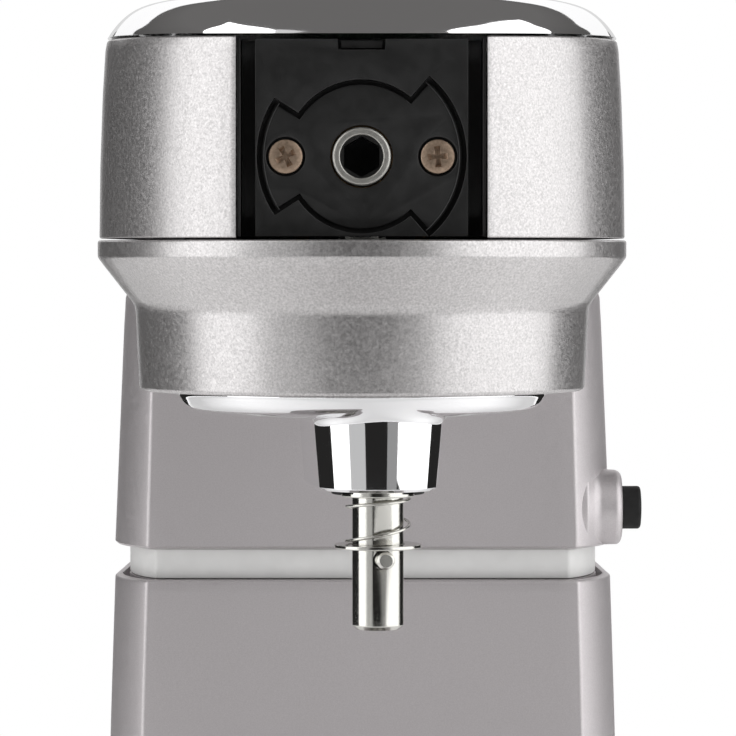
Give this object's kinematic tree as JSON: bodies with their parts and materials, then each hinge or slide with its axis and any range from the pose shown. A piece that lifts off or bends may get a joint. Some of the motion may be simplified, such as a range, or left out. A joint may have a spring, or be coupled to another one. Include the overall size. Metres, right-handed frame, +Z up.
{
  "type": "tilt-head stand mixer",
  "caption": "Tilt-head stand mixer with a metal body, polished top cover, front power outlet and planetary beater drive on a hinged neck, column and base.",
  "frame": {"origin": "centre of the footprint of the whole machine, on the counter", "axes": "+Z up, the front of the machine faces -Y, +X to the side with the speed dial and the tilt button"},
  "size_m": [0.2, 0.356, 0.3576],
  "materials": {
    "silver_paint": "fine metallic flake paint, satin",
    "satin_paint": "smooth satin metallic paint",
    "chrome": "polished chrome plate",
    "steel": "turned steel",
    "gear_steel": "sintered steel",
    "screw_steel": "bronze coloured plated steel",
    "brass": "cut brass",
    "bronze": "sintered bronze",
    "copper": "enamelled copper",
    "cast_alloy": "as cast",
    "ferrite": "sintered ferrite",
    "black_plastic": "moulded satin black",
    "pale_plastic": "moulded pale grey",
    "rubber": "moulded black rubber",
    "board": "printed board"
  },
  "bodies": {
    "stand": {"base": "satin_paint", "base_cover": "black_plastic", "foot_front_left": "rubber", "foot_front_right": "rubber", "foot_rear_left": "rubber", "foot_rear_right": "rubber", "bowl_clamp_plate": "steel", "clamp_screw_left": "steel", "clamp_screw_right": "steel", "cord_inlet": "rubber", "column": "satin_paint", "hinge_collar": "pale_plastic", "hinge_pin": "steel", "latch_keeper": "steel"},
    "head": {"upper_housing": "silver_paint", "chrome_top_cover": "chrome", "lower_housing": "silver_paint", "neck_shell": "satin_paint", "outlet_bezel": "black_plastic", "outlet_bayonet_plate": "black_plastic", "outlet_screw_left": "screw_steel", "outlet_screw_right": "screw_steel", "outlet_bush": "bronze", "ring_gear": "gear_steel", "bearing_plate": "cast_alloy", "gear_bridge": "cast_alloy", "lower_bearing": "steel", "upper_bearing": "steel", "counter_bracket": "cast_alloy", "motor_can": "steel", "motor_magnet_top": "ferrite", "motor_magnet_bottom": "ferrite", "brush_holder": "black_plastic", "control_board": "board", "speed_control": "black_plastic", "button_spring": "steel"},
    "planetary": {"main_shaft": "steel", "crown_gear": "gear_steel", "main_miter_gear": "gear_steel", "planetary_carrier": "chrome", "beater_bush": "bronze", "shaft_seal": "rubber"},
    "beater": {"beater_shaft": "steel", "planet_pinion": "gear_steel", "beater_pin": "steel", "beater_spring": "steel"},
    "washer": {"spring_washer": "steel"},
    "outlet": {"outlet_drive_sleeve": "steel", "outlet_miter_gear": "gear_steel"},
    "countershaft": {"countershaft": "steel", "bevel_pinion": "gear_steel", "counter_gear": "brass"},
    "motor": {"motor_armature": "copper", "motor_commutator": "copper", "motor_pinion": "gear_steel", "cooling_fan": "black_plastic"},
    "dial": {"speed_dial": "black_plastic"},
    "button": {"tilt_button": "rubber", "latch_slider": "steel"}
  },
  "joints": [
    {"name": "head_tilt", "type": "hinge", "parent": "stand", "child": "head", "pos_m": [0, 0.098, 0.211], "axis": [-1, 0, 0], "range_deg": [0, 38]},
    {"name": "planetary_spin", "type": "hinge", "parent": "head", "child": "planetary", "pos_m": [0, -0.078, 0], "axis": [0, 0, 1], "continuous": true},
    {"name": "beater_spin", "type": "hinge", "parent": "planetary", "child": "beater", "pos_m": [0.0039, -0.10573, 0], "axis": [0, 0, 1], "continuous": true},
    {"name": "outlet_spin", "type": "hinge", "parent": "head", "child": "outlet", "pos_m": [0, -0.078, 0.3096], "axis": [0, 1, 0], "continuous": true},
    {"name": "counter_spin", "type": "hinge", "parent": "head", "child": "countershaft", "pos_m": [0, 0, 0.29], "axis": [0, 1, 0], "continuous": true},
    {"name": "motor_spin", "type": "hinge", "parent": "head", "child": "motor", "pos_m": [0, 0, 0.314], "axis": [0, 1, 0], "continuous": true},
    {"name": "speed_dial_turn", "type": "hinge", "parent": "head", "child": "dial", "pos_m": [0.069, 0.11, 0.315], "axis": [1, 0, 0], "range_deg": [0, 270]},
    {"name": "tilt_button_press", "type": "slide", "parent": "head", "child": "button", "axis": [-1, 0, 0], "range_m": [0, 0.004], "stiffness_N_per_m": 500, "springref_m": -0.004, "deforming": ["button_spring"]},
    {"name": "washer_slide", "type": "slide", "parent": "beater", "child": "washer", "axis": [0, 0, 1], "range_m": [0, 0.006], "stiffness_N_per_m": 300, "springref_m": -0.004, "deforming": ["beater_spring"]}
  ],
  "couplings": [
    {"joint": "beater_spin", "follows": "planetary_spin", "ratio": -3.3333},
    {"joint": "outlet_spin", "follows": "planetary_spin", "ratio": -1},
    {"joint": "counter_spin", "follows": "planetary_spin", "ratio": 5},
    {"joint": "motor_spin", "follows": "planetary_spin", "ratio": -20}
  ]
}
